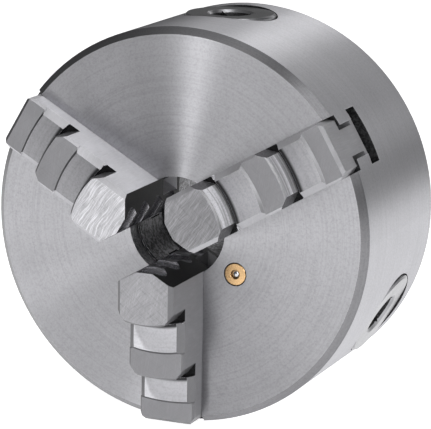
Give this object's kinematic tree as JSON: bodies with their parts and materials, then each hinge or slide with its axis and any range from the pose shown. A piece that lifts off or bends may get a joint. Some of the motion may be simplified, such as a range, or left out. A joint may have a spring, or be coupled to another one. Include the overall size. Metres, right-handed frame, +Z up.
{
  "type": "lathe chuck",
  "caption": "Self-centring scroll chuck with stepped one-piece jaws, bevel pinions turned by a square key, and a rear register for a backplate.",
  "frame": {"origin": "centre of the rear mounting face", "axes": "+Y along the chuck's axis towards the spindle, so the jaws face -Y; +Z up, through the top pinion"},
  "size_m": [0.125, 0.0865, 0.125],
  "materials": {
    "body_steel": "ground, satin",
    "cover_steel": "turned",
    "fastener_steel": "black oxide",
    "scroll_steel": "machined",
    "pinion_steel": "machined and hardened",
    "jaw_steel": "ground",
    "oiler_brass": "satin",
    "ball_steel": "polished",
    "spring_steel": "drawn wire"
  },
  "bodies": {
    "chuck": {"chuck_body": "body_steel", "back_cover": "cover_steel", "cover_screw_1": "fastener_steel", "cover_screw_2": "fastener_steel", "cover_screw_3": "fastener_steel", "cover_screw_4": "fastener_steel", "cover_screw_5": "fastener_steel", "cover_screw_6": "fastener_steel", "cover_dowel_1": "fastener_steel", "cover_dowel_2": "fastener_steel", "pinion_retainer_1": "fastener_steel", "pinion_retainer_2": "fastener_steel", "pinion_retainer_3": "fastener_steel", "oiler_shell": "oiler_brass", "oiler_spring": "spring_steel"},
    "scroll": {"scroll_plate": "scroll_steel"},
    "pinion_1": {"pinion_1": "pinion_steel"},
    "pinion_2": {"pinion_2": "pinion_steel"},
    "pinion_3": {"pinion_3": "pinion_steel"},
    "jaw_1": {"jaw_1": "jaw_steel"},
    "jaw_2": {"jaw_2": "jaw_steel"},
    "jaw_3": {"jaw_3": "jaw_steel"},
    "oiler_ball": {"oiler_ball": "ball_steel"}
  },
  "joints": [
    {"name": "scroll_turn", "type": "hinge", "parent": "chuck", "child": "scroll", "pos_m": [0, -0.0334, 0], "axis": [0, 1, 0], "range_deg": [-432, 864]},
    {"name": "pinion_turn_1", "type": "hinge", "parent": "chuck", "child": "pinion_1", "pos_m": [0, -0.0214, 0.055], "axis": [0, 0, 1], "range_deg": [-1945, 3889]},
    {"name": "pinion_turn_2", "type": "hinge", "parent": "chuck", "child": "pinion_2", "pos_m": [-0.04763, -0.0214, -0.0275], "axis": [-0.866, 0, -0.5], "range_deg": [-1945, 3889]},
    {"name": "pinion_turn_3", "type": "hinge", "parent": "chuck", "child": "pinion_3", "pos_m": [0.04763, -0.0214, -0.0275], "axis": [0.866, 0, -0.5], "range_deg": [-1945, 3889]},
    {"name": "jaw_slide_1", "type": "slide", "parent": "chuck", "child": "jaw_1", "axis": [0.866, 0, 0.5], "range_m": [-0.00721, 0.01441]},
    {"name": "jaw_slide_2", "type": "slide", "parent": "chuck", "child": "jaw_2", "axis": [-0.866, 0, 0.5], "range_m": [-0.00721, 0.01441]},
    {"name": "jaw_slide_3", "type": "slide", "parent": "chuck", "child": "jaw_3", "axis": [0, 0, -1], "range_m": [-0.00721, 0.01441]},
    {"name": "oiler_ball_press", "type": "slide", "parent": "chuck", "child": "oiler_ball", "axis": [0, 1, 0], "range_m": [0, 0.001], "stiffness_N_per_m": 200, "springref_m": -0.001, "deforming": ["oiler_spring"]}
  ],
  "couplings": [
    {"joint": "pinion_turn_1", "follows": "scroll_turn", "ratio": 4.5},
    {"joint": "pinion_turn_2", "follows": "scroll_turn", "ratio": 4.5},
    {"joint": "pinion_turn_3", "follows": "scroll_turn", "ratio": 4.5},
    {"joint": "jaw_slide_1", "follows": "scroll_turn", "m_per_rad": 0.00095493},
    {"joint": "jaw_slide_2", "follows": "scroll_turn", "m_per_rad": 0.00095493},
    {"joint": "jaw_slide_3", "follows": "scroll_turn", "m_per_rad": 0.00095493}
  ]
}
